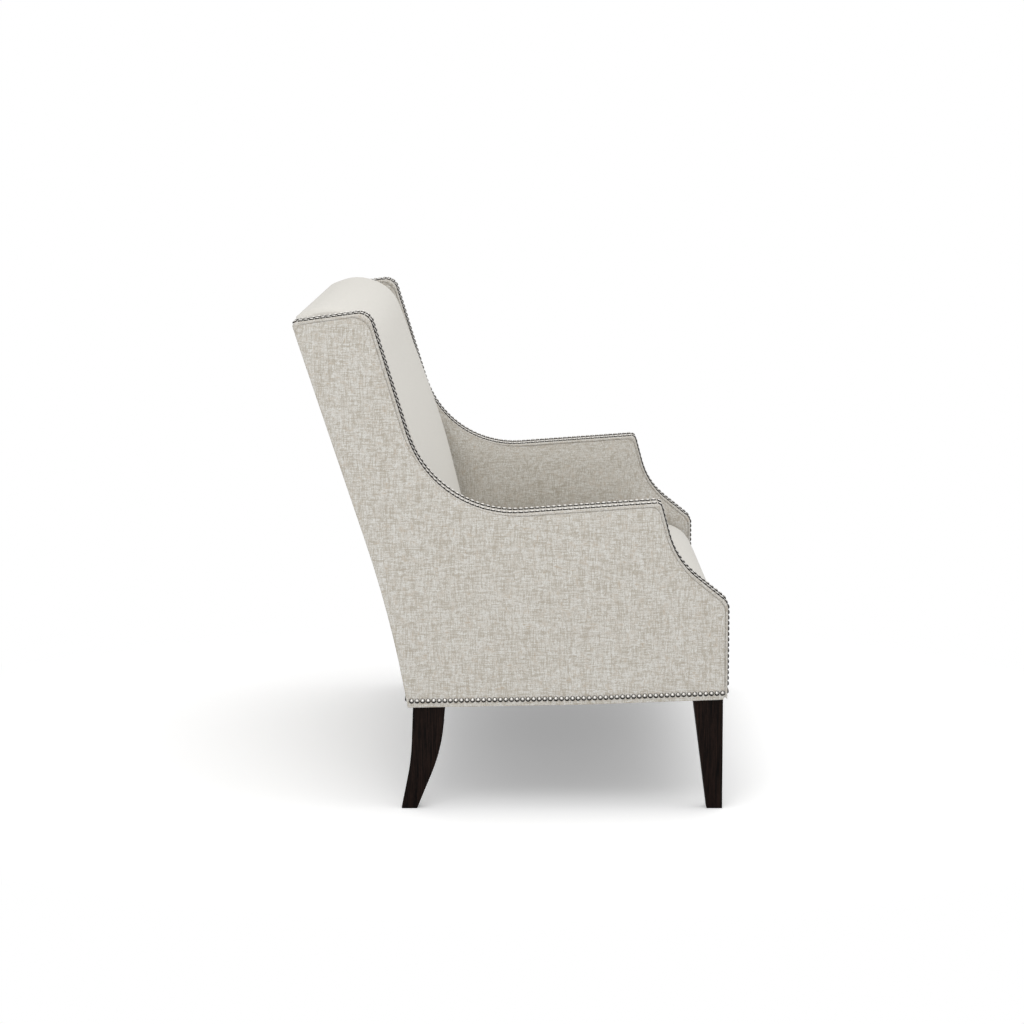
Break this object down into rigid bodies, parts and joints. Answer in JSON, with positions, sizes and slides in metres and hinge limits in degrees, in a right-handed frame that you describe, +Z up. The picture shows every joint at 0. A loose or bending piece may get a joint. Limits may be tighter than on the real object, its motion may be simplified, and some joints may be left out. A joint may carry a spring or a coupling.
{
  "type": "settee",
  "caption": "Two seat settee with high winged arms, a tight crowned seat and back, nailhead trimmed borders, and tapered and swept wooden legs.",
  "frame": {"origin": "on the floor, midway across the width and the depth", "axes": "+X to the sitter's left along the width, +Y to the rear, +Z up; the settee faces -Y"},
  "size_m": [1.4086, 0.8835, 1.017],
  "materials": {
    "linen_cover": "mottled linen weave, matt",
    "plain_cover": "plain smooth weave, matt",
    "nailheads": "antique pewter, softly polished",
    "leg_wood": "very dark brown stain, satin",
    "frame_wood": "planed, unfinished",
    "plywood": "sanded, unfinished",
    "spring_steel": "drawn wire and zinc plate",
    "foam": "open cell foam",
    "black_cloth": "thin non-woven cloth",
    "webbing": "woven strap"
  },
  "bodies": {
    "root": {"left_outer_ply": "plywood", "right_outer_ply": "plywood", "left_inner_ply": "plywood", "right_inner_ply": "plywood", "left_arm_fillers": "frame_wood", "right_arm_fillers": "frame_wood", "left_leg_blocks": "frame_wood", "right_leg_blocks": "frame_wood", "front_rail": "frame_wood", "rear_rail": "frame_wood", "left_side_rail": "frame_wood", "right_side_rail": "frame_wood", "middle_stretcher": "frame_wood", "corner_braces": "frame_wood", "back_posts": "frame_wood", "back_top_rail": "frame_wood", "back_tack_rail": "frame_wood", "seat_springs": "spring_steel", "spring_clips": "spring_steel", "seat_deck": "black_cloth", "seat_foam": "foam", "seat_cover": "plain_cover", "back_upright_webs": "webbing", "back_cross_webs": "webbing", "back_foam": "foam", "back_cover": "plain_cover", "outside_back": "linen_cover", "left_outer_panel": "linen_cover", "right_outer_panel": "linen_cover", "left_inner_panel": "linen_cover", "right_inner_panel": "linen_cover", "left_border": "linen_cover", "right_border": "linen_cover", "front_panel": "plain_cover", "dust_cover": "black_cloth", "left_border_nails": "nailheads", "right_border_nails": "nailheads", "left_base_nails": "nailheads", "right_base_nails": "nailheads", "front_base_nails": "nailheads", "rear_base_nails": "nailheads", "left_front_leg": "leg_wood", "right_front_leg": "leg_wood", "left_rear_leg": "leg_wood", "right_rear_leg": "leg_wood", "leg_bolts": "spring_steel"}
  },
  "joints": []
}
